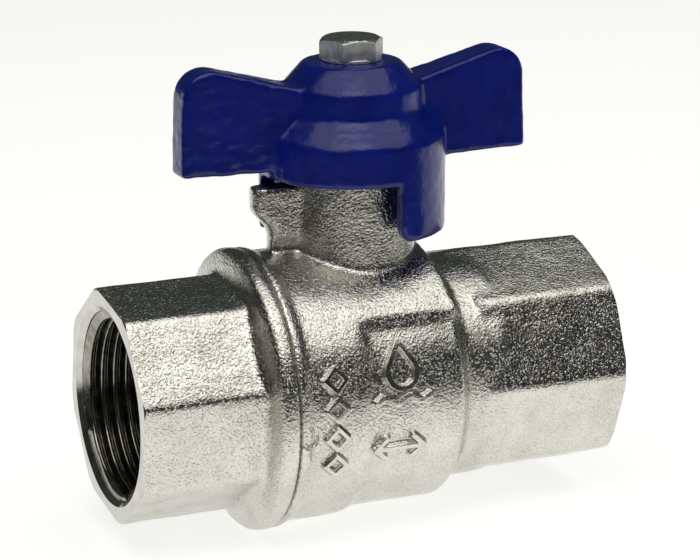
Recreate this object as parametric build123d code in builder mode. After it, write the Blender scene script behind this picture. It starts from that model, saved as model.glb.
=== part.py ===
from build123d import *
import os
from math import cos, pi, sqrt

# Quarter-turn ball valve, size DN20, with G 3/4 inside threads at both ends and a butterfly handle.
# The pipe axis is X, the stem axis is Z, and both cross at the centre of the ball.
# It is drawn open: the ball's bore and the handle's wings lie along the pipe.

# ---- driving dimensions, mm ----
thread_r = 13.22  # G 3/4 inside thread, root radius
thread_depth = 14.5
thread_chamfer = 0.78
inlet_x = -36.8  # end face of the end adapter
outlet_x = 35.45  # end face of the body
passage_r = 10.0  # DN20 full bore
ball_r = 15.2
seal_gap = 0.05  # between the ball and its seats
slip = 0.05  # radial play of a part that turns in its hole
static_gap = 0.03  # between parts that never move

outlet_octagon_r = 16.95  # to the corners, before they are rounded
inlet_octagon_r = 16.62
octagon_round = 1.1
end_face_r = 16.1  # turned edge that takes the corners off both end faces
end_chamfer = 0.5
inlet_turn = 31.3  # degrees; the end adapter stops where it is tight, so its corners are not level

seam_x = -15.9  # where the end adapter's flange meets the body
flange_r = 20.05
seam_r = 19.6  # both sides fall away a little towards the seam
barrel_r = 19.2  # thick end of the body's barrel
waist_r = 18.4  # thin end of the barrel
throat_r = 16.2  # round neck between the barrel and the octagon
step_x = (-5.7, -4.2)  # slope from the thick end of the barrel to the thin one
barrel_end_x = 8.7
throat_x = 11.3
octagon_root_x = (17.0, 18.2)  # where the throat runs out into the octagon
flange_back_x = -18.9  # the flange's flat side, around the inlet octagon
cavity_r = 15.7
spigot_r = 16.4
spigot_end_x = -9.0
pocket_r = 13.4  # seat pockets
pocket_x = 13.6  # floor of each seat pocket
lip_x = 9.3  # face of each seat ring
bore_cone = 1.6  # length of the cone between a thread and the passage

neck_r = 8.6
neck_top_z = 31.5
foot_round = 3.0
saddle_z = 14.1  # ledge around the foot of the neck
saddle_half_width = 14.75
saddle_x = (-6.5, 9.3)  # thick pad under the ledge
stop_half_width = 1.9
stop_web_half_width = 1.3
stop_root_x = -6.5  # inside the neck
stop_top_z = 28.9
stop_end_x = -15.2
stop_end_z = 25.4  # bottom of the fin's outer end
stop_heel = (-11.2, 21.4)  # (x, z) where the fin's sloping underside ends
stop_web_x = -12.6

stem_r = 5.0
collar_r = 6.3
collar_z = 16.1
collar_height = 1.9
thrust_height = 1.0
o_ring_groove_r = 3.75
o_ring_groove_width = 1.9
o_ring_groove_z = (20.6, 23.6)
packing_floor_z = 27.2
packing_r = 6.9
packing_height = 1.1
packing_vee = 0.5
gland_hex = 14.0
gland_head = 3.0
gland_turn = 15
tang_width = 6.0
tang_length = 10.0
tang_play = 0.2
slot_floor_z = 11.7
double_d_r = 4.9
double_d_flats = 7.4

skirt_r = 13.1
skirt_wall = 2.1
skirt_bottom_z = 29.9
skirt_roof = (8.2, 34.2)  # (r, z) of the cone inside the skirt: its top radius and its foot
leg_bottom_z = 21.8
leg_round = 1.8
leg_gap = 0.2  # between a leg and the stop fin at each end of the travel
roof_z = 37.2
hub_top_z = 45.6
hub_outline = ((13.1, 35.2), (12.6, 36.0), (9.95, 38.9), (9.8, 42.25), (7.3, 45.1), (6.8, 45.6))  # (r, z)
hub_plate = 1.6  # top of the hub, which the screw pulls down
wing_tip_x = 26.0
wing_bottom_z = 31.3
wing_peak_z = 47.15  # where the top and tip edges would meet
wing_shoulder = (10.3, 43.1)  # where the top edge meets the hub
wing_corner_round = 4.0
wing_tip_lean = 0.6
wing_root_x = 4.0
wing_taper_x = 8.0  # the wings get thinner from here out
wing_root_thickness = 7.2
wing_tip_thickness = 4.6

screw_thread_r = 2.5
screw_length = 9.5
screw_hex = 8.0
screw_head = 2.75
screw_turn = -6  # degrees, where the screw stopped
lock_washer_r = 4.2
lock_washer_height = 0.5

# ---- derived dimensions ----
outlet_flat_r = outlet_octagon_r * cos(pi / 8)
thrust_z = collar_z + collar_height
thrust_top_z = thrust_z + thrust_height
packing_middle_z = packing_floor_z + packing_height
packing_top_z = packing_middle_z + packing_height
stem_top_z = hub_top_z - hub_plate - 0.3
head_z = hub_top_z + lock_washer_height
seat_face_r = ball_r + seal_gap
skirt_inner_r = skirt_r - skirt_wall
o_ring_wire_r = (stem_r + slip - o_ring_groove_r) / 2 - 0.02
o_ring_r = (stem_r + slip + o_ring_groove_r) / 2
os.makedirs("parts", exist_ok=True)


def turned(axis, *corners):
    """A turned solid from the corners of its half section: (x, r) about X, or (r, z) about Z."""
    with BuildPart() as solid:
        with BuildSketch(Plane.XZ):
            with BuildLine():
                Polyline(*corners, close=True)
            make_face()
        revolve(axis=axis)
    return solid.part


def wrench_octagon(corner_r, face_x, back_x, turn):
    """Octagonal end with rounded edges and a turned chamfer at face_x."""
    inward = 1 if back_x > face_x else -1
    chamfer_cone = turned(
        Axis.X,
        (face_x, 0),
        (face_x, end_face_r),
        (face_x + inward * end_chamfer, corner_r),
        (back_x, corner_r),
        (back_x, 0),
    )
    with BuildPart() as octagon:
        with BuildSketch(Plane.YZ.offset(min(face_x, back_x))):
            RegularPolygon(corner_r, 8, rotation=turn)
        extrude(amount=abs(back_x - face_x))
        fillet(octagon.edges().filter_by(Axis.X), octagon_round)
        add(chamfer_cone, mode=Mode.INTERSECT)
    return octagon.part


def end_way(face_x, inward):
    """The hollow of one end: entry chamfer, thread, passage and seat pocket."""
    thread_end = face_x + inward * thread_depth
    pocket_mouth = -inward * (lip_x - 0.8)
    return turned(
        Axis.X,
        (face_x - inward, 0),
        (face_x - inward, thread_r + thread_chamfer + 1),
        (face_x + inward * thread_chamfer, thread_r),
        (thread_end, thread_r),
        (thread_end + inward * bore_cone, passage_r),
        (-inward * pocket_x, passage_r),
        (-inward * pocket_x, pocket_r),
        (pocket_mouth, pocket_r),
        (pocket_mouth, 0),
    )


def hex_head(across, bottom_z, height, crown, turn):
    """A hexagonal head with its top corners turned off."""
    corner_r = across / sqrt(3)
    cone = turned(
        Axis.Z,
        (0, bottom_z),
        (corner_r + 0.01, bottom_z),
        (corner_r + 0.01, bottom_z + height - crown),
        (across / 2 - 0.3, bottom_z + height),
        (0, bottom_z + height),
    )
    with BuildPart() as head:
        with BuildSketch(Plane.XY.offset(bottom_z)):
            RegularPolygon(corner_r, 6, rotation=turn)
        extrude(amount=height)
        add(cone, mode=Mode.INTERSECT)
    return head.part


outlet_octagon = wrench_octagon(outlet_octagon_r, outlet_x, 14.0, 0)
inlet_octagon = wrench_octagon(inlet_octagon_r, inlet_x, -18.0, inlet_turn)
outlet_way = end_way(outlet_x, -1)
inlet_way = end_way(inlet_x, 1)
ball_cavity = turned(
    Axis.X,
    (seam_x - 1, 0),
    (seam_x - 1, spigot_r + static_gap),
    (spigot_end_x + 0.3, spigot_r + static_gap),
    (spigot_end_x + 0.3, cavity_r),
    (lip_x - 0.3, cavity_r),
    (lip_x - 0.3, 0),
)
stem_hole = turned(
    Axis.Z,
    (0, 0),
    (collar_r + 0.3, 0),
    (collar_r + 0.3, thrust_top_z + slip),
    (stem_r + slip, thrust_top_z + slip),
    (stem_r + slip, packing_floor_z),
    (packing_r, packing_floor_z),
    (packing_r, neck_top_z + 1),
    (0, neck_top_z + 1),
)

# ---- body: barrel, outlet octagon, neck and stop fin in one forging ----
with BuildPart() as body:
    # barrel, its step and shoulder, and the round throat that runs out into the octagon
    with BuildSketch(Plane.XZ):
        with BuildLine():
            Polyline(
                (barrel_end_x, waist_r),
                (step_x[1], waist_r),
                (step_x[0], barrel_r),
                (seam_x + 2.6, barrel_r),
                (seam_x + 1.9, barrel_r - 0.1),
                (seam_x + 1.3, flange_r - 0.2),
                (seam_x + 0.4, flange_r - 0.15),
                (seam_x, seam_r),
                (seam_x, 0),
                (octagon_root_x[1], 0),
                (octagon_root_x[1], outlet_flat_r - 0.3),
                (octagon_root_x[0], throat_r),
                (throat_x, throat_r),
                (throat_x - 0.8, throat_r + 0.4),
                (barrel_end_x + 0.4, waist_r - 0.3),
                close=True,
            )
        make_face()
    revolve(axis=Axis.X)
    add(outlet_octagon)
    # thick pad that carries the neck, level with the barrel
    with BuildSketch(Plane.YZ.offset(saddle_x[0])):
        Circle(barrel_r)
        with Locations((0, barrel_r / 2 + 3)):
            Rectangle(2 * saddle_half_width, barrel_r, mode=Mode.INTERSECT)
    extrude(amount=saddle_x[1] - saddle_x[0])
    # ledge around the foot of the neck, down to the throat's own level
    with BuildSketch(Plane.YZ.offset(step_x[0])):
        with Locations((0, saddle_z)):
            Rectangle(4 * barrel_r, barrel_r, align=(Align.CENTER, Align.MIN))
        Circle(throat_r, mode=Mode.SUBTRACT)
    extrude(amount=throat_x - 0.7 - step_x[0], mode=Mode.SUBTRACT)
    # neck with its flared foot
    with BuildSketch(Plane.XZ):
        with BuildLine():
            Polyline(
                (neck_r, saddle_z + foot_round),
                (neck_r, neck_top_z),
                (0, neck_top_z),
                (0, 5),
                (neck_r + foot_round, 5),
                (neck_r + foot_round, saddle_z),
            )
            RadiusArc((neck_r + foot_round, saddle_z), (neck_r, saddle_z + foot_round), foot_round)
        make_face()
    revolve(axis=Axis.Z)
    # stop fin with its sloping underside
    with BuildSketch(Plane.XZ.offset(-stop_half_width)):
        with BuildLine():
            Polyline(
                (stop_root_x, stop_top_z),
                (stop_end_x, stop_top_z),
                (stop_end_x, stop_end_z),
                stop_heel,
                (stop_root_x, stop_heel[1]),
                close=True,
            )
        make_face()
    extrude(amount=2 * stop_half_width)
    # thinner web under the fin, down to the barrel
    with BuildSketch(Plane.XZ.offset(-stop_web_half_width)):
        with BuildLine():
            Polyline(
                (stop_root_x, 24),
                (stop_web_x - 1.1, 24),
                (stop_web_x, 22.6),
                (stop_web_x, 15),
                (stop_root_x, 15),
                close=True,
            )
        make_face()
    extrude(amount=2 * stop_web_half_width)
    fin_end = body.edges().filter_by(Axis.Z).group_by(Axis.X)[0]
    fillet(fin_end, stop_half_width - 0.3)
    add(ball_cavity, mode=Mode.SUBTRACT)
    add(outlet_way, mode=Mode.SUBTRACT)
    add(stem_hole, mode=Mode.SUBTRACT)

# ---- end adapter: inlet octagon, flange and the spigot that screws into the body ----
with BuildPart() as end_adapter:
    with BuildSketch(Plane.XZ):
        with BuildLine():
            Polyline(
                (seam_x - 2.4, flange_r - 0.35),
                (seam_x - 1.6, flange_r),
                (seam_x - 0.4, flange_r - 0.1),
                (seam_x - static_gap, seam_r),
                (seam_x - static_gap, spigot_r),
                (spigot_end_x, spigot_r),
                (spigot_end_x, 0),
                (flange_back_x - 1.1, 0),
                (flange_back_x - 1.1, 15.0),
                (flange_back_x - 0.5, 16.2),
                (flange_back_x - 0.1, 17.0),
                (flange_back_x, 17.9),
                close=True,
            )
        make_face()
    revolve(axis=Axis.X)
    add(inlet_octagon)
    add(inlet_way, mode=Mode.SUBTRACT)

# ---- seat rings, each with a face that fits the ball ----
with BuildPart() as seat_ring_outlet:
    lip = (lip_x, sqrt(seat_face_r**2 - lip_x**2))
    inner = (sqrt(seat_face_r**2 - passage_r**2), passage_r)
    with BuildSketch(Plane.XZ):
        with BuildLine():
            Polyline(
                inner,
                (pocket_x - static_gap, passage_r),
                (pocket_x - static_gap, pocket_r - static_gap),
                (lip_x, pocket_r - static_gap),
                lip,
            )
            RadiusArc(lip, inner, seat_face_r)
        make_face()
    revolve(axis=Axis.X)

with BuildPart() as seat_ring_inlet:
    add(seat_ring_outlet.part.mirror(Plane.YZ))

# ---- ball ----
with BuildPart() as ball:
    Sphere(ball_r)
    Cylinder(passage_r, 3 * ball_r, rotation=(0, 90, 0), mode=Mode.SUBTRACT)
    with BuildSketch(Plane.XY.offset(slot_floor_z)):
        Rectangle(tang_width + tang_play, 3 * ball_r)
    extrude(amount=ball_r, mode=Mode.SUBTRACT)

# ---- stem: tang, collar, shaft with two ring grooves, double-D end with a tapped hole ----
shaft = turned(
    Axis.Z,
    (0, collar_z),
    (collar_r, collar_z),
    (collar_r, thrust_z),
    (stem_r, thrust_z),
    *[
        (r, z + step)
        for z in o_ring_groove_z
        for r, step in (
            (stem_r, 0),
            (o_ring_groove_r, 0),
            (o_ring_groove_r, o_ring_groove_width),
            (stem_r, o_ring_groove_width),
        )
    ],
    (stem_r, roof_z),
    (0, roof_z),
)
with BuildPart() as stem:
    add(shaft)
    with BuildSketch(Plane.XY.offset(slot_floor_z + tang_play)):
        Rectangle(tang_width, tang_length)
    extrude(amount=collar_z - slot_floor_z - tang_play)
    with BuildSketch(Plane.XY.offset(roof_z)):
        Circle(double_d_r)
        Rectangle(4 * double_d_r, double_d_flats, mode=Mode.INTERSECT)
    extrude(amount=stem_top_z - roof_z)
    with Locations((0, 0, stem_top_z)):
        Hole(screw_thread_r, screw_length)

# ---- stem seals, from the bottom up ----
with BuildPart() as stem_thrust_washer:
    add(
        turned(
            Axis.Z,
            (stem_r + slip, thrust_z),
            (collar_r, thrust_z),
            (collar_r, thrust_top_z),
            (stem_r + slip, thrust_top_z),
        )
    )

o_rings = []
for groove_z in o_ring_groove_z:
    with BuildPart() as o_ring:
        with Locations((0, 0, groove_z + o_ring_groove_width / 2)):
            Torus(o_ring_r, o_ring_wire_r)
    o_rings.append(o_ring)

packing_middle_r = (packing_r + stem_r) / 2
with BuildPart() as packing_ring_lower:
    add(
        turned(
            Axis.Z,
            (stem_r + slip, packing_floor_z),
            (packing_r - static_gap, packing_floor_z),
            (packing_r - static_gap, packing_middle_z - packing_vee),
            (packing_middle_r, packing_middle_z),
            (stem_r + slip, packing_middle_z - packing_vee),
        )
    )

with BuildPart() as packing_ring_upper:
    add(
        turned(
            Axis.Z,
            (stem_r + slip, packing_middle_z - packing_vee + static_gap),
            (packing_middle_r, packing_middle_z + static_gap),
            (packing_r - static_gap, packing_middle_z - packing_vee + static_gap),
            (packing_r - static_gap, packing_top_z),
            (stem_r + slip, packing_top_z),
        )
    )

# ---- gland nut, screwed into the top of the neck ----
gland_hex_head = hex_head(gland_hex, neck_top_z, gland_head, 1.0, gland_turn)
with BuildPart() as gland_nut:
    add(gland_hex_head)
    with BuildSketch(Plane.XY.offset(packing_top_z)):
        Circle(packing_r - static_gap)
    extrude(amount=neck_top_z - packing_top_z)
    with BuildSketch(Plane.XY.offset(packing_top_z)):
        Circle(stem_r + 3 * slip)
    extrude(amount=neck_top_z + gland_head - packing_top_z, mode=Mode.SUBTRACT)

# ---- handle: stepped hub, two wings and two stop legs ----
with BuildPart() as wing:
    with BuildSketch(Plane.XZ.offset(-wing_root_thickness)):
        with BuildLine():
            Polyline(
                (wing_root_x, wing_bottom_z),
                (wing_tip_x, wing_bottom_z),
                (wing_tip_x - wing_tip_lean, wing_peak_z),
                wing_shoulder,
                (wing_root_x, wing_shoulder[1] - 1.2),
                close=True,
            )
        make_face()
        fillet(vertices().sort_by(Axis.Y)[-1], wing_corner_round)
    extrude(amount=2 * wing_root_thickness)
    with BuildSketch(Plane.XY.offset(wing_bottom_z - 1)):
        with BuildLine():
            Polyline(
                (0, -wing_root_thickness / 2),
                (wing_taper_x, -wing_root_thickness / 2),
                (wing_tip_x + 1, -wing_tip_thickness / 2),
                (wing_tip_x + 1, wing_tip_thickness / 2),
                (wing_taper_x, wing_root_thickness / 2),
                (0, wing_root_thickness / 2),
                close=True,
            )
        make_face()
    extrude(amount=wing_peak_z - wing_bottom_z + 2, mode=Mode.INTERSECT)

with BuildPart() as handle:
    # hub: top disc, upper cone, band, lower cone, skirt
    with BuildSketch(Plane.XZ):
        with BuildLine():
            Polyline(
                (0, skirt_bottom_z),
                (skirt_r, skirt_bottom_z),
                *hub_outline,
                (0, hub_top_z),
                close=True,
            )
        make_face()
    revolve(axis=Axis.Z)
    add(wing.part)
    add(wing.part.mirror(Plane.YZ))
    # two legs that meet the stop fin, open and shut
    leg_edge = stop_half_width + leg_gap
    with BuildSketch(Plane.XY.offset(leg_bottom_z)):
        with Locations((leg_edge, -leg_edge)):
            Rectangle(skirt_r, skirt_r, align=(Align.MIN, Align.MAX))
        with Locations((-leg_edge, leg_edge)):
            Rectangle(skirt_r, skirt_r, align=(Align.MAX, Align.MIN))
        Circle(skirt_r, mode=Mode.INTERSECT)
    extrude(amount=skirt_bottom_z - leg_bottom_z + 1)
    # hollow for the neck and the gland nut
    with BuildSketch(Plane.XZ):
        with BuildLine():
            Polyline(
                (0, leg_bottom_z - 1),
                (skirt_inner_r, leg_bottom_z - 1),
                (skirt_inner_r, skirt_roof[1]),
                (skirt_roof[0], roof_z),
                (0, roof_z),
                close=True,
            )
        make_face()
    revolve(axis=Axis.Z, mode=Mode.SUBTRACT)
    # double-D socket for the stem, and the screw's hole
    with BuildSketch(Plane.XY.offset(roof_z)):
        Circle(double_d_r + static_gap)
        Rectangle(4 * double_d_r, double_d_flats + 2 * static_gap, mode=Mode.INTERSECT)
    extrude(amount=hub_top_z - hub_plate - roof_z, mode=Mode.SUBTRACT)
    with Locations((0, 0, hub_top_z)):
        Hole(screw_thread_r + 0.2, 2 * hub_plate)
    leg_corners = handle.edges().filter_by(GeomType.LINE).group_by(Axis.Z)[0]
    fillet(leg_corners, leg_round)

# ---- handle screw and its lock washer ----
screw_hex_head = hex_head(screw_hex, head_z, screw_head, 0.5, screw_turn)
with BuildPart() as handle_screw:
    add(screw_hex_head)
    with BuildSketch(Plane.XY.offset(head_z)):
        Circle(screw_thread_r - slip)
    extrude(amount=-screw_length)
    chamfer(handle_screw.edges().group_by(Axis.Z)[0], 0.5)

with BuildPart() as lock_washer:
    with BuildSketch(Plane.XY.offset(hub_top_z)):
        Circle(lock_washer_r)
        Circle(screw_thread_r + 0.15, mode=Mode.SUBTRACT)
    extrude(amount=lock_washer_height)

pieces = {
    "body": body,
    "end_adapter": end_adapter,
    "seat_ring_inlet": seat_ring_inlet,
    "seat_ring_outlet": seat_ring_outlet,
    "ball": ball,
    "stem": stem,
    "stem_thrust_washer": stem_thrust_washer,
    "stem_o_ring_lower": o_rings[0],
    "stem_o_ring_upper": o_rings[1],
    "packing_ring_lower": packing_ring_lower,
    "packing_ring_upper": packing_ring_upper,
    "gland_nut": gland_nut,
    "handle": handle,
    "handle_screw": handle_screw,
    "lock_washer": lock_washer,
}
for name, piece in pieces.items():
    piece.part.label = name
    export_step(piece.part, f"parts/{name}.step")
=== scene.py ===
from math import ceil, cos, pi, radians, sin, tau

import bmesh
import bpy
import numpy as np
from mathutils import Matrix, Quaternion, Vector, noise


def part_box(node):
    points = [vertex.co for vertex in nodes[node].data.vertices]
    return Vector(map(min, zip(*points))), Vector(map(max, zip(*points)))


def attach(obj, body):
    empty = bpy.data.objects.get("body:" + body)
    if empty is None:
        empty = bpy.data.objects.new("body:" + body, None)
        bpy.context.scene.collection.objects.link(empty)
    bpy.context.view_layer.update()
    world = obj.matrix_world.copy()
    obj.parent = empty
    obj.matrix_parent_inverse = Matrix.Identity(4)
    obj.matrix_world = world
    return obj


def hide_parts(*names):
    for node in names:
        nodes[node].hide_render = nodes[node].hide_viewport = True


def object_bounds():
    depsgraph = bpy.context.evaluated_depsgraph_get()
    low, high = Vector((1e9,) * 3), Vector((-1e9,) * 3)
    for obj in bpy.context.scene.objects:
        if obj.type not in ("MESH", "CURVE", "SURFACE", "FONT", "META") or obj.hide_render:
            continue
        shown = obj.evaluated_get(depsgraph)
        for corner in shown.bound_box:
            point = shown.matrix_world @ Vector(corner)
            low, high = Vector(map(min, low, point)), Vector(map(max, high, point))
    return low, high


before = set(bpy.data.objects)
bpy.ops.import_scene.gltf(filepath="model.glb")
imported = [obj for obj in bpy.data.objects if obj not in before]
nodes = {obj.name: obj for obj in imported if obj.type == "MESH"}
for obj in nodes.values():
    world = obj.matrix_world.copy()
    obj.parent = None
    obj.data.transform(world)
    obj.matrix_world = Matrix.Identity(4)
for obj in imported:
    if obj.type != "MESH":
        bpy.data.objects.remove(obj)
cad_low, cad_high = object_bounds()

MM = 0.001
inlet_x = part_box("end_adapter")[0].x / MM  # end face of the end adapter
outlet_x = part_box("body")[1].x / MM  # end face of the body
seam_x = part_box("body")[0].x / MM  # where the two meet
floor_z = cad_low.z  # in metres

# inside thread G 3/4, and the turned faces round it
THREAD_PITCH = 1.814
THREAD_ROOT = 13.22  # radius
THREAD_HEIGHT = 1.16
THREAD_DEPTH = 14.5
THREAD_CHAMFER = 0.78
PASSAGE = 10.0  # radius of the way through
PASSAGE_CONE = 1.6  # length of the cone from the thread to the passage
FACE_RADIUS = 16.1
CORNER_DEPTH = 0.8
CORNER_SLOPE = 1.7  # rise of the turned corner cone for each mm along the pipe

# forgings and casting
BODY_VOXEL = 0.37
ADAPTER_VOXEL = 0.34
HANDLE_VOXEL = 0.3
FINE_SKIN = (0.035, 1.3)  # height and wave length
BROAD_SKIN = (0.10, 5.0)

# marks on the front of the barrel: x, turn from the top and radius of the middle of each
DROP_PLACE = (-0.4, 72, 18.4)
ARROW_PLACE = (-0.8, 106, 18.4)
DIAMOND_PLACES = [(-10.5, turn, 19.2) for turn in (73, 85, 97, 109)]
NICK_PLACE = (-14.5, 96, 19.3)
MARK_HEIGHT = 0.75
NICK_DEPTH = 0.7  # as a share of MARK_HEIGHT


# ---- meshes ----
def new_object(name, data):
    obj = bpy.data.objects.new(name, data)
    bpy.context.scene.collection.objects.link(obj)
    return obj


def object_from(made, name):
    """An object with the shape of the bmesh made, which is freed."""
    mesh = bpy.data.meshes.new(name)
    made.to_mesh(mesh)
    made.free()
    return new_object(name, mesh)


def applied(obj):
    """The object's mesh with its modifiers in it."""
    graph = bpy.context.evaluated_depsgraph_get()
    mesh = bpy.data.meshes.new_from_object(obj.evaluated_get(graph))
    obj.modifiers.clear()
    old = obj.data
    obj.data = mesh
    bpy.data.meshes.remove(old)
    mesh.name = obj.name
    return mesh


def copy_of(node, name):
    """A new object with a CAD node's shape, its vertices joined and no finish."""
    made = bmesh.new()
    made.from_mesh(nodes[node].data)
    bmesh.ops.remove_doubles(made, verts=made.verts, dist=1e-6)
    obj = object_from(made, name)
    obj.data.materials.clear()
    for attribute in [a for a in obj.data.attributes if a.name == "custom_normal"]:
        obj.data.attributes.remove(attribute)
    return obj


def rows_of(items, name):
    """A value of each vertex or face, in rows of three."""
    found = np.empty(len(items) * 3)
    items.foreach_get(name, found)
    return found.reshape(-1, 3)


def points_of(mesh):
    return rows_of(mesh.vertices, "co") / MM


def normals_of(mesh):
    mesh.update()
    return rows_of(mesh.vertices, "normal")


def set_points(mesh, co):
    mesh.vertices.foreach_set("co", (co * MM).ravel())
    mesh.update()


def pipe_radius(co):
    """Distance from the pipe's axis."""
    return np.hypot(co[:, 1], co[:, 2])


def stem_radius(co):
    """Distance from the stem's axis."""
    return np.hypot(co[:, 0], co[:, 1])


def turn_of(co):
    """Turn about the pipe's axis, from the top over the front."""
    return np.degrees(np.arctan2(-co[:, 1], co[:, 2]))


def ramp(value, start, end):
    """Smooth step from 0 at start to 1 at end."""
    t = np.clip((value - start) / (end - start), 0, 1)
    return t * t * (3 - 2 * t)


def unevenness(co, wave, seed):
    """Soft random heights from about -1 to 1, one for each point."""
    shift = Vector((seed, 2 * seed, 3 * seed))
    return np.array([noise.noise(Vector(p) / wave + shift) for p in co])


def skin(co, *layers):
    """Heights of an uneven skin, the sum of layers of (height, wave length, seed)."""
    return sum(height * unevenness(co, wave, seed) for height, wave, seed in layers)


def even_mesh(obj, size):
    """Remeshes obj with even quads, so that its edges can be rounded like a forging's."""
    remesh = obj.modifiers.new("even", "REMESH")
    remesh.mode = "VOXEL"
    remesh.voxel_size = size * MM
    applied(obj)


def relax(mesh, weight, rounds):
    """Rounds edges and fills corners: each point moves towards its neighbours, by its weight."""
    step = 0.6
    co = points_of(mesh)
    edges = np.empty(len(mesh.edges) * 2, int)
    mesh.edges.foreach_get("vertices", edges)
    a, b = edges.reshape(-1, 2).T
    degree = np.bincount(edges, minlength=len(co))[:, None]
    for _ in range(rounds):
        around = np.stack(
            [
                np.bincount(a, co[b, k], len(co)) + np.bincount(b, co[a, k], len(co))
                for k in range(3)
            ],
            axis=1,
        )
        co = co + step * weight[:, None] * (around / degree - co)
    set_points(mesh, co)


def finer(mesh, wanted):
    """Divides the faces whose points are all wanted."""
    made = bmesh.new()
    made.from_mesh(mesh)
    made.verts.ensure_lookup_table()
    faces = [f for f in made.faces if all(wanted[v.index] for v in f.verts)]
    edges = list({e for f in faces for e in f.edges})
    bmesh.ops.subdivide_edges(made, edges=edges, cuts=1, use_grid_fill=True)
    made.to_mesh(mesh)
    made.free()


def stand_for(obj, node, body):
    """Makes obj ride on body in place of a CAD node."""
    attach(obj, body)
    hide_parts(node)


# ---- node materials ----
class Finish:
    """A procedural material with a few short cuts for its nodes."""

    def __init__(self, name):
        self.material = bpy.data.materials.new(name)
        self.material.use_nodes = True
        self.tree = self.material.node_tree
        self.surface = self.tree.nodes["Principled BSDF"]
        self.place = self.add("ShaderNodeTexCoord").outputs["Object"]

    def add(self, kind, **values):
        node = self.tree.nodes.new(kind)
        for key, value in values.items():
            setattr(node, key, value)
        return node

    def link(self, output, node, socket):
        self.tree.links.new(output, node.inputs[socket])

    def stretched(self, scale):
        mapping = self.add("ShaderNodeMapping")
        mapping.inputs["Scale"].default_value = scale
        self.link(self.place, mapping, "Vector")
        return mapping.outputs["Vector"]

    def noise(self, size, detail=2.0, rough=0.5, place=None):
        """Noise whose grains are about size mm across."""
        node = self.add("ShaderNodeTexNoise")
        node.inputs["Scale"].default_value = 1 / (size * MM)
        node.inputs["Detail"].default_value = detail
        node.inputs["Roughness"].default_value = rough
        self.link(place or self.place, node, "Vector")
        return node.outputs["Fac"]

    def cells(self, size):
        """Soft-edged cells about size mm across."""
        node = self.add("ShaderNodeTexVoronoi", feature="SMOOTH_F1")
        node.inputs["Scale"].default_value = 1 / (size * MM)
        node.inputs["Smoothness"].default_value = 0.7
        self.link(self.place, node, "Vector")
        return node.outputs["Distance"]

    def remap(self, value, low, high, to_low, to_high):
        node = self.add("ShaderNodeMapRange")
        for socket, number in zip(("From Min", "From Max", "To Min", "To Max"), (low, high, to_low, to_high)):
            node.inputs[socket].default_value = number
        self.link(value, node, "Value")
        return node.outputs["Result"]

    def spread(self, value, low, high):
        """A noise's usual span, spread from low to high."""
        return self.remap(value, 0.3, 0.7, low, high)

    def math(self, operation, one, two):
        node = self.add("ShaderNodeMath", operation=operation)
        for k, value in enumerate((one, two)):
            if isinstance(value, (int, float)):
                node.inputs[k].default_value = value
            else:
                self.link(value, node, k)
        return node.outputs[0]

    def mixed(self, one, share_one, two, share_two):
        """The sum of two values, each times its share."""
        return self.math("ADD", self.math("MULTIPLY", one, share_one), self.math("MULTIPLY", two, share_two))

    def colours(self, value, *stops):
        """A colour ramp from (place, (r, g, b)) stops."""
        node = self.add("ShaderNodeValToRGB")
        elements = node.color_ramp.elements
        while len(elements) < len(stops):
            elements.new(0.5)
        for element, (place, colour) in zip(elements, stops):
            element.position = place
            element.color = (*colour, 1)
        self.link(value, node, "Fac")
        return node.outputs["Color"]

    def two_tone(self, value, dark, light):
        """Patches of a dark and a light colour, from a noise."""
        return self.colours(value, (0.35, dark), (0.65, light))

    def bump(self, height, depth, after=None):
        """Bumps of depth mm between height 0 and 1."""
        node = self.add("ShaderNodeBump")
        node.inputs["Strength"].default_value = 1.0
        node.inputs["Distance"].default_value = depth * MM
        self.link(height, node, "Height")
        if after is not None:
            self.link(after, node, "Normal")
        return node.outputs["Normal"]

    def set(self, **values):
        for key, value in values.items():
            socket = self.surface.inputs[key.replace("_", " ")]
            if isinstance(value, bpy.types.NodeSocket):
                self.tree.links.new(value, socket)
            else:
                socket.default_value = value
        return self.material


def forged_nickel():
    """Nickel plate on a forging's grainy skin. The grain is calmer on the raised marks."""
    f = Finish("nickel_on_forging")
    grain = f.noise(0.23, 2, 0.6)
    peel = f.cells(0.42)
    pimples = f.remap(f.noise(0.31, 1, 0.5), 0.55, 0.74, 0, 0.42)
    raised = f.add("ShaderNodeAttribute", attribute_name="raised").outputs["Fac"]
    height = f.math("ADD", f.mixed(grain, 0.55, peel, 0.5), pimples)
    height = f.math("MULTIPLY", height, f.remap(raised, 0, 1, 1, 0.25))
    tint = f.mixed(grain, 0.6, f.noise(5.0, 3, 0.6), 0.4)
    dark, middle, light = (0.49, 0.465, 0.405), (0.64, 0.63, 0.58), (0.75, 0.745, 0.71)
    colour = f.colours(tint, (0.34, dark), (0.5, middle), (0.68, light))
    rough = f.spread(f.noise(1.6, 3, 0.6), 0.15, 0.25)
    return f.set(Base_Color=colour, Metallic=1.0, Roughness=rough, Normal=f.bump(height, 0.105))


def machined_nickel():
    """Nickel plate over fine turning marks."""
    f = Finish("nickel_on_machined")
    rings = f.noise(0.12, 1, 0.4, f.stretched((1, 0.05, 0.05)))
    patches = f.noise(3.0, 3, 0.6)
    colour = f.two_tone(patches, (0.50, 0.485, 0.45), (0.61, 0.60, 0.57))
    rough = f.spread(patches, 0.12, 0.24)
    waves = f.bump(f.noise(0.8, 2, 0.5), 0.012)
    return f.set(Base_Color=colour, Metallic=1.0, Roughness=rough, Normal=f.bump(rings, 0.003, waves))


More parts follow.
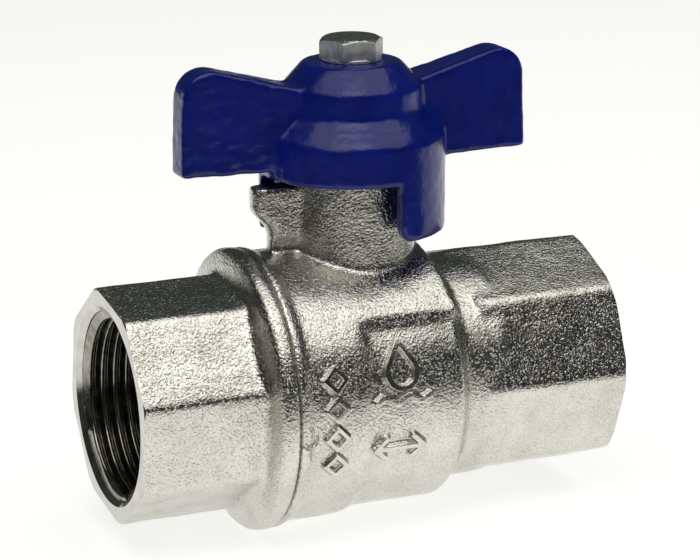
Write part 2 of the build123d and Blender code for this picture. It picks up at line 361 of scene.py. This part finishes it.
def thread_nickel_painted_shade():
    """Darker nickel down in the threads: painted shade in the hole."""
    f = Finish("nickel_in_thread_painted_shade")
    patches = f.noise(1.5, 3, 0.6)
    # the dark tones are painted shade for the threaded hole
    colour = f.two_tone(patches, (0.22, 0.215, 0.18), (0.38, 0.375, 0.33))
    rough = f.spread(patches, 0.14, 0.24)
    return f.set(Base_Color=colour, Metallic=1.0, Roughness=rough, Normal=f.bump(f.noise(0.2, 2, 0.5), 0.006))


def zinc_plate():
    """Zinc plate: brushed and duller on upright faces, brighter on level ones."""
    f = Finish("zinc_on_steel")
    patches = f.noise(1.3, 3, 0.6)
    scratches = f.noise(0.22, 2, 0.6, f.stretched((1, 1, 0.12)))
    facing = f.add("ShaderNodeSeparateXYZ")
    f.link(f.add("ShaderNodeNewGeometry").outputs["Normal"], facing, "Vector")
    side = f.remap(f.math("ABSOLUTE", facing.outputs["Z"], 0), 0.2, 0.9, 0.5, 0.16)
    rough = f.math("ADD", side, f.spread(scratches, 0, 0.16))
    colour = f.two_tone(patches, (0.62, 0.64, 0.63), (0.88, 0.89, 0.87))
    return f.set(Base_Color=colour, Metallic=1.0, Roughness=rough, Normal=f.bump(scratches, 0.01))


def plain_metal(name, dark, light, rough_low, rough_high, bump=0.004):
    """A bright metal with upright hairline scratches."""
    f = Finish(name)
    colour = f.two_tone(f.noise(1.3, 3, 0.6), dark, light)
    scratches = f.noise(0.25, 2, 0.5, f.stretched((1, 1, 0.12)))
    rough = f.spread(scratches, rough_low, rough_high)
    return f.set(Base_Color=colour, Metallic=1.0, Roughness=rough, Normal=f.bump(scratches, bump))


def polymer(name, dark, light, roughness, bump):
    """Moulded plastic or rubber with a faint grain."""
    f = Finish(name)
    patches = f.noise(1.5, 3, 0.6)
    rough = f.spread(patches, roughness - 0.05, roughness + 0.05)
    grain = f.bump(f.noise(0.3), bump)
    return f.set(Base_Color=f.two_tone(patches, dark, light), Roughness=rough, Normal=grain)


def blue_paint():
    """Glossy dark blue paint that has flowed a little."""
    f = Finish("handle_blue_paint")
    colour = f.two_tone(f.noise(6.0, 3, 0.6), (0.0012, 0.0065, 0.12), (0.0025, 0.0095, 0.17))
    rough = f.spread(f.noise(2.0, 3, 0.6), 0.18, 0.28)
    peel = f.math("ADD", f.noise(1.3, 3, 0.5), f.math("MULTIPLY", f.noise(0.35, 2, 0.5), 0.2))
    return f.set(
        Base_Color=colour,
        Roughness=rough,
        Normal=f.bump(peel, 0.08),
        Specular_IOR_Level=0.33,
        Coat_Weight=0.12,
        Coat_Roughness=0.1,
    )


forged = forged_nickel()
machined = machined_nickel()
painted_shade_thread = thread_nickel_painted_shade()
paint = blue_paint()
zinc = zinc_plate()
chrome = plain_metal("chrome_on_ball", (0.50, 0.50, 0.50), (0.62, 0.62, 0.62), 0.05, 0.12, 0.001)
brass = plain_metal("turned_brass", (0.60, 0.42, 0.17), (0.74, 0.55, 0.26), 0.22, 0.36)
ptfe = polymer("white_ptfe", (0.74, 0.74, 0.71), (0.82, 0.82, 0.80), 0.42, 0.004)
rubber = polymer("black_rubber", (0.012, 0.012, 0.012), (0.022, 0.022, 0.022), 0.55, 0.008)


# ---- machining ----
def turned_tool(name, corners, sides=192):
    """A solid turned about the pipe axis, from (x, r) corners that start and end on the axis."""
    made = bmesh.new()
    rings = []
    for x, r in corners:
        if r == 0:
            rings.append([made.verts.new((x * MM, 0, 0))])
            continue
        turn = [tau * i / sides for i in range(sides)]
        rings.append([made.verts.new((x * MM, r * sin(t) * MM, r * cos(t) * MM)) for t in turn])
    for one, two in zip(rings, rings[1:]):
        for i in range(sides):
            j = (i + 1) % sides
            corner = [one[i % len(one)], one[j % len(one)], two[j % len(two)], two[i % len(two)]]
            made.faces.new(list(dict.fromkeys(corner)))
    bmesh.ops.recalc_face_normals(made, faces=made.faces)
    return object_from(made, name)


def end_stock(co, face_x, inward):
    """Points with extra metal for machining, on the end face and in the hole."""
    face_stock, hole_stock, passage_stock = 0.8, 0.3, 0.15
    fade = (0.5, 2.4)  # depths from the end face where the stock on it thins out
    hole_end, hole_radius = THREAD_DEPTH + 1.9, THREAD_ROOT + 1.0
    depth = (co[:, 0] - face_x) * inward
    r = pipe_radius(co)
    out = co.copy()
    out[:, 0] -= inward * face_stock * (1 - ramp(depth, *fade))
    hole = (depth < hole_end) & (r < hole_radius)
    narrower = np.where(hole, np.maximum(r - hole_stock, PASSAGE - passage_stock) / np.maximum(r, 1e-6), 1)
    out[:, 1:] *= narrower[:, None]
    return out


def cut_end(obj, face_x, inward):
    """Cuts the end face, its turned corners, the entry chamfer and the thread's hole into a forging."""
    reach, tool_radius = 4, 24  # past the face and past the forging
    bore_end = face_x + inward * THREAD_DEPTH
    tool = turned_tool(
        "end_tool",
        [
            (face_x - inward * reach, 0),
            (face_x - inward * reach, tool_radius),
            (face_x + inward * CORNER_DEPTH, tool_radius),
            (face_x + inward * CORNER_DEPTH, FACE_RADIUS + CORNER_SLOPE * CORNER_DEPTH),
            (face_x, FACE_RADIUS),
            (face_x, THREAD_ROOT + THREAD_CHAMFER),
            (face_x + inward * THREAD_CHAMFER, THREAD_ROOT),
            (bore_end, THREAD_ROOT),
            (bore_end + inward * PASSAGE_CONE, PASSAGE + 0.02),
            (bore_end + inward * PASSAGE_CONE, 0),
        ],
    )
    cut = obj.modifiers.new("end", "BOOLEAN")
    cut.operation = "DIFFERENCE"
    cut.object = tool
    cut.solver = "MANIFOLD"
    applied(obj)
    bpy.data.objects.remove(tool)


def finish_forging(mesh, face_x, inward):
    """Smooth shading, with the machined faces crisp and in their own finish."""
    crease = radians(24)
    near = 0.03  # how far a face's middle may be from its cone
    corner_end, hole_end = 1.2, 30  # depths past which a face isn't on the corner, or in the hole
    mesh.materials.clear()  # the cut leaves an empty slot
    for material in (forged, machined, painted_shade_thread):
        mesh.materials.append(material)
    mesh.shade_smooth()
    mesh.set_sharp_from_angle(angle=crease)
    centre = rows_of(mesh.polygons, "center") / MM
    outward = -inward * rows_of(mesh.polygons, "normal")[:, 0]
    r = pipe_radius(centre)
    depth = (centre[:, 0] - face_x) * inward
    face = depth < 0.02
    corner = (depth < corner_end) & (r > FACE_RADIUS + CORNER_SLOPE * depth - near) & (outward > 0.3)
    chamfer = (depth < THREAD_CHAMFER) & (r < THREAD_ROOT + THREAD_CHAMFER)
    hole = (depth > THREAD_CHAMFER) & (depth < hole_end) & (r < THREAD_ROOT + 0.1)
    index = np.zeros(len(centre), np.int32)
    index[face | corner | chamfer] = 1
    # the hole's faces take the thread finish, whose darker colour is painted shade
    index[hole] = 2
    mesh.polygons.foreach_set("material_index", index)


def machine(obj, co, face_x, inward):
    """Gives a forging its rough points, then turns its end."""
    set_points(obj.data, end_stock(co, face_x, inward))
    cut_end(obj, face_x, inward)
    finish_forging(obj.data, face_x, inward)


def thread_ridge(name, face_x, inward):
    """The helical ridge of the inside thread, with flat crests, cut by the entry chamfer."""
    flank = [(-0.5, -0.03), (-0.44, 0), (-0.4, 0.05), (-0.15, 0.95), (-0.12, 1)]  # in pitches and heights
    section = flank + [(-offset, height) for offset, height in reversed(flank)]
    sides, runout = 120, 70  # steps in a turn, and in the run-out at the thread's end
    start, end = 0.2, THREAD_DEPTH - 0.7
    entry_slope = 4.0
    sunk, early = 0.04, 0.1  # how far it goes into the hole's wall, and out into the chamfer
    steps = ceil((end - start) / THREAD_PITCH * sides)
    made = bmesh.new()
    rings = []
    for i in range(steps + 1):
        depth = start + THREAD_PITCH * i / sides
        turn = -inward * tau * i / sides
        full = min(1, (steps - i) / runout)
        ring = []
        for offset, height in section:
            d = depth + offset * THREAD_PITCH
            crest = THREAD_ROOT - THREAD_HEIGHT * height * full
            r = min(max(crest, THREAD_ROOT - entry_slope * (d - THREAD_CHAMFER)), THREAD_ROOT + sunk)
            x = face_x + inward * max(d, THREAD_CHAMFER - early)
            ring.append(made.verts.new((x * MM, r * sin(turn) * MM, r * cos(turn) * MM)))
        rings.append(ring)
    for one, two in zip(rings, rings[1:]):
        for k in range(len(section)):
            j = (k + 1) % len(section)
            made.faces.new((one[k], one[j], two[j], two[k]))
    made.faces.new(rings[0])
    made.faces.new(list(reversed(rings[-1])))
    bmesh.ops.recalc_face_normals(made, faces=made.faces)
    ridge = object_from(made, name)
    ridge.data.shade_smooth()
    # darker nickel: painted shade in the hole
    ridge.data.materials.append(painted_shade_thread)
    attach(ridge, "valve_body")


# ---- marks on the barrel ----
def stroke(u, v, line, half_width):
    """Height from 0 to 1 of a raised line with soft sides, at points (u, v)."""
    inner, outer = half_width - 0.12, half_width + 0.22
    nearest = np.full(len(u), 1e9)
    for (u0, v0), (u1, v1) in zip(line, line[1:]):
        du, dv = u1 - u0, v1 - v0
        t = np.clip(((u - u0) * du + (v - v0) * dv) / (du * du + dv * dv), 0, 1)
        nearest = np.minimum(nearest, np.hypot(u - u0 - t * du, v - v0 - t * dv))
    return 1 - ramp(nearest, inner, outer)


def drop_lines():
    """A water drop above a ripple."""
    radius, tip = 2.2, (0, 3.9)
    bulb = [(radius * sin(t), -0.4 - radius * cos(t)) for t in np.linspace(-2.2, 2.2, 18)]
    ripple = [(u, -3.9 + 0.4 * sin(u * 1.7)) for u in np.linspace(-4.0, 4.0, 18)]
    return [[tip, *bulb, tip], ripple]


def arrow_lines():
    """An arrow with a head at each end, for flow either way."""
    end, barb, spread = 3.6, 2.0, 1.5
    heads = [[(s * barb, spread), (s * end, 0), (s * barb, -spread)] for s in (-1, 1)]
    return [[(-end, 0), (end, 0)], *heads]


def diamond_lines():
    size = 1.5
    return [[(0, size), (size, 0), (0, -size), (-size, 0), (0, size)]]


def nick_line():
    """A short arc, left by a blow."""
    return [(cos(t), sin(t)) for t in np.linspace(-2.6, 0.2, 9)]


def relief(co):
    """Height of the marks, from 1 on a raised line to -NICK_DEPTH in the nick, and 0 elsewhere."""
    skin_radius, first_turn, last_turn = 16.5, 40, 130
    turn = turn_of(co)
    shown = (pipe_radius(co) > skin_radius) & (turn > first_turn) & (turn < last_turn)
    x = co[shown, 0]
    turn = turn[shown]

    def height(place, line, half_width):
        at_x, at_turn, radius = place
        return stroke(x - at_x, radians(1) * (at_turn - turn) * radius, line, half_width)

    marks = [(DROP_PLACE, drop_lines(), 0.45), (ARROW_PLACE, arrow_lines(), 0.42)]
    marks += [(place, diamond_lines(), 0.36) for place in DIAMOND_PLACES]
    raised = np.zeros(len(x))
    for place, lines, half_width in marks:
        for line in lines:
            raised = np.maximum(raised, height(place, line, half_width))
    out = np.zeros(len(co))
    out[shown] = raised - NICK_DEPTH * height(NICK_PLACE, nick_line(), 0.2)
    return out


# ---- body ----
def body_hollow(co, cavity, end_x, top, bore):
    """Which points are in the ball's cavity or in the stem's bore, by their radii."""
    in_cavity = (pipe_radius(co) < cavity) & (co[:, 0] < end_x) & (co[:, 2] < top)
    return in_cavity | (stem_radius(co) < bore)


def round_body(mesh):
    """Rounds the edges, but less in the hollow, at the seam and at the step at the barrel's end."""
    step_start, step_end = (7.2, 8.2), (11.8, 13)  # the spans of x where it fades in and out
    step_radius, neck_z = (15.5, 16), 13.5
    in_hollow, seam_hold, step_hold = 0.15, 0.8, 0.93
    co = points_of(mesh)
    x = co[:, 0]
    hollow = body_hollow(co, cavity=17.2, end_x=14.5, top=14, bore=7.4)
    at_seam = 1 - ramp(x - seam_x, 0.5, 1.4)
    outer = ramp(pipe_radius(co), *step_radius) * (co[:, 2] < neck_z)
    at_step = ramp(x, *step_start) * (1 - ramp(x, *step_end)) * outer
    held = np.maximum(seam_hold * at_seam, step_hold * at_step)
    relax(mesh, np.where(hollow, in_hollow, 1 - held), rounds=9)


def refine_panel(mesh):
    """Smaller faces on the panel that has the marks, and smaller ones again on the marks."""
    skin_radius, first_turn, last_turn, first_x, last_x = 17.6, 52, 124, -15.7, 5
    co = points_of(mesh)
    x = co[:, 0]
    turn = turn_of(co)
    panel = (turn > first_turn) & (turn < last_turn) & (x > first_x) & (x < last_x)
    finer(mesh, panel & (pipe_radius(co) > skin_radius))
    finer(mesh, relief(points_of(mesh)) != 0)


def thin_hollow(obj):
    """Fewer faces inside, where nothing shows."""
    hollow = body_hollow(points_of(obj.data), cavity=16.0, end_x=19, top=13.5, bore=7)
    obj.vertex_groups.new(name="hollow").add(np.flatnonzero(hollow).tolist(), 1.0, "REPLACE")
    thin = obj.modifiers.new("thin", "DECIMATE")
    thin.ratio = 0.72
    thin.vertex_group = "hollow"
    applied(obj)


def rough_body_points(mesh):
    """The body's points with an uneven skin and the marks, whose places it keeps as an attribute."""
    co = points_of(mesh)
    hollow = body_hollow(co, cavity=16.4, end_x=14.5, top=13.8, bore=7.4)
    rough = skin(co, (*FINE_SKIN, 3), (*BROAD_SKIN, 7))
    rough *= np.where(hollow, 0, 1) * ramp(co[:, 0] - seam_x, 0.3, 1.5)
    raised = relief(co)
    outward = co * [0, 1, 1] / np.maximum(pipe_radius(co), 1)[:, None]
    rough *= 1 - np.abs(raised)
    co = co + normals_of(mesh) * rough[:, None] + outward * (MARK_HEIGHT * raised)[:, None]
    mesh.attributes.new("raised", "FLOAT", "POINT").data.foreach_set("value", np.abs(raised))
    return co


def make_body():
    """The body in one forging: barrel, octagonal outlet end, neck and stop fin."""
    body = copy_of("body", "body_forging")
    even_mesh(body, BODY_VOXEL)
    round_body(body.data)
    refine_panel(body.data)
    thin_hollow(body)
    machine(body, rough_body_points(body.data), outlet_x, -1)
    stand_for(body, "body", "valve_body")


# ---- end adapter ----
def make_adapter():
    """The adapter's forging: octagonal inlet end and domed flange, with a plain seam face."""
    adapter = copy_of("end_adapter", "end_adapter_forging")
    even_mesh(adapter, ADAPTER_VOXEL)
    seam_hold = 0.8
    past_seam = points_of(adapter.data)[:, 0] - seam_x
    relax(adapter.data, 1 - seam_hold * ramp(past_seam, -1.2, -0.5), rounds=8)
    co = points_of(adapter.data)
    rough = skin(co, (*FINE_SKIN, 11), (*BROAD_SKIN, 13)) * (1 - ramp(co[:, 0] - seam_x, -1.5, -0.3))
    machine(adapter, co + normals_of(adapter.data) * rough[:, None], inlet_x, 1)
    stand_for(adapter, "end_adapter", "valve_body")


# ---- handle ----
def handle_hollow(co, skirt, hole):
    """Which points are inside the skirt or in the hub's hole, by their radii."""
    skirt_top = 37.6
    r = stem_radius(co)
    return (r < skirt) & (co[:, 2] < skirt_top) | (r < hole)


def make_handle():
    """The handle's casting, with a coarser skin on the front of its left wing."""
    handle = copy_of("handle", "handle_casting")
    even_mesh(handle, HANDLE_VOXEL)
    mesh = handle.data
    in_hollow = 0.1
    relax(mesh, np.where(handle_hollow(points_of(mesh), skirt=11.2, hole=5.6), in_hollow, 1.0), rounds=10)
    co = points_of(mesh)
    left_wing = (10, 13)  # distance to the left over which the coarser skin sets in
    sunk = 0.05
    coarse = 0.09 * unevenness(co * [1, 1, 2], 1.9, 15) * ramp(-co[:, 0], *left_wing) * (co[:, 1] < 0)
    rough = skin(co, (0.04, 1.6, 5), (0.07, 5.0, 9)) + coarse - sunk
    rough = np.where(handle_hollow(co, skirt=11.4, hole=5.8), 0, rough)
    set_points(mesh, co + normals_of(mesh) * rough[:, None])
    mesh.materials.append(paint)
    mesh.shade_smooth()
    stand_for(handle, "handle", "handle_assembly")


# ---- fasteners ----
def softened(node, name, body, material, width):
    """A CAD node with its sharp edges broken by width mm."""
    sharp, crease = radians(28), radians(40)
    obj = copy_of(node, name)
    bevel = obj.modifiers.new("edges", "BEVEL")
    bevel.width = width * MM
    bevel.segments = 3
    bevel.limit_method = "ANGLE"
    bevel.angle_limit = sharp
    mesh = applied(obj)
    mesh.materials.append(material)
    mesh.shade_smooth()
    mesh.set_sharp_from_angle(angle=crease)
    stand_for(obj, node, body)


# ---- studio, in metres ----
def direction(turn, rise):
    """Unit vector at a turn from the front and a rise from level, in degrees."""
    a, b = radians(turn), radians(rise)
    return Vector((sin(a) * cos(b), -cos(a) * cos(b), sin(b)))


def make_floor():
    half = 3
    mesh = bpy.data.meshes.new("floor")
    corners = [(-half, -half, 0), (half, -half, 0), (half, half, 0), (-half, half, 0)]
    mesh.from_pydata(corners, [], [(0, 1, 2, 3)])
    f = Finish("pale_floor")
    mesh.materials.append(
        f.set(
            Base_Color=(0.5, 0.5, 0.49, 1),
            Roughness=0.8,
            Emission_Color=(1, 1, 0.98, 1),
            Emission_Strength=0.74,
        )
    )
    floor = new_object("floor", mesh)
    floor.location.z = floor_z


def make_card():
    """A dark curved card round the front and left. It shows only as the dark band in the metal."""
    radius, height, steps = 0.115, 0.11, 24
    first, last = -125, 70
    lift = 0.0005
    bends = [radians(first + (last - first) * i / steps) for i in range(steps + 1)]
    foot = [(radius * sin(t), -radius * cos(t), floor_z + lift) for t in bends]
    top = [(x, y, z + height) for x, y, z in foot]
    mesh = bpy.data.meshes.new("dark_card")
    mesh.from_pydata(foot + top, [], [(i, i + 1, steps + i + 2, steps + i + 1) for i in range(steps)])
    mesh.materials.append(Finish("dark_cloth").set(Base_Color=(0.03, 0.03, 0.03, 1), Roughness=1.0))
    card = new_object("dark_card", mesh)
    card.visible_camera = False
    card.visible_shadow = False
    card.visible_diffuse = False


def softbox(name, turn, rise, distance, across, deep, brightness, colour):
    """An area light aimed at the valve."""
    light = bpy.data.lights.new(name, "AREA")
    light.shape = "RECTANGLE"
    light.size = across
    light.size_y = deep
    light.energy = brightness * pi * across * deep
    light.color = colour
    way = direction(turn, rise)
    obj = new_object(name, light)
    obj.location = way * distance
    obj.rotation_euler = way.to_track_quat("Z", "Y").to_euler()


def make_world():
    world = bpy.data.worlds.new("studio")
    bpy.context.scene.world = world
    world.use_nodes = True
    world.node_tree.nodes["Background"].inputs["Color"].default_value = (0.045, 0.055, 0.046, 1)


def make_camera():
    target = Vector((-0.32, 0.06, 13.92)) * MM
    distance = 395.7 * MM
    roll = -0.30
    back = direction(-23.12, 15.44)
    camera = new_object("camera", bpy.data.cameras.new("camera"))
    camera.data.lens = 144
    camera.data.clip_start = 0.01
    camera.location = target + back * distance
    camera.rotation_mode = "QUATERNION"
    camera.rotation_quaternion = (-back).to_track_quat("-Z", "Y") @ Quaternion((0, 0, 1), radians(roll))
    bpy.context.scene.camera = camera


# ---- the valve ----
make_body()
make_adapter()
thread_ridge("inlet_thread_ridge", inlet_x, 1)
thread_ridge("outlet_thread_ridge", outlet_x, -1)
make_handle()
softened("handle_screw", "hex_screw", "handle_assembly", zinc, 0.12)
softened("lock_washer", "screw_washer", "handle_assembly", zinc, 0.1)
softened("gland_nut", "packing_nut", "valve_body", brass, 0.15)

for node, material, slot in (
    ("ball", chrome, "ball_chrome"),
    ("stem", brass, "stem_brass"),
    ("seat_ring_inlet", ptfe, "ptfe"),
    ("seat_ring_outlet", ptfe, "ptfe"),
    ("stem_thrust_washer", ptfe, "ptfe"),
    ("packing_ring_lower", ptfe, "ptfe"),
    ("packing_ring_upper", ptfe, "ptfe"),
    ("stem_o_ring_lower", rubber, "o_ring_rubber"),
    ("stem_o_ring_upper", rubber, "o_ring_rubber"),
):
    nodes[node].data.materials.clear()
    nodes[node].data.materials.append(material)

# ---- the studio ----
make_floor()
softbox("overhead", 0, 74, 0.7, across=1.3, deep=0.84, brightness=1.42, colour=(1, 0.98, 0.94))
softbox("overhead_core", -18, 62, 0.69, across=0.34, deep=0.24, brightness=1.6, colour=(1, 0.95, 0.93))
make_world()
make_card()
make_camera()
bpy.context.scene.view_settings.view_transform = "Standard"
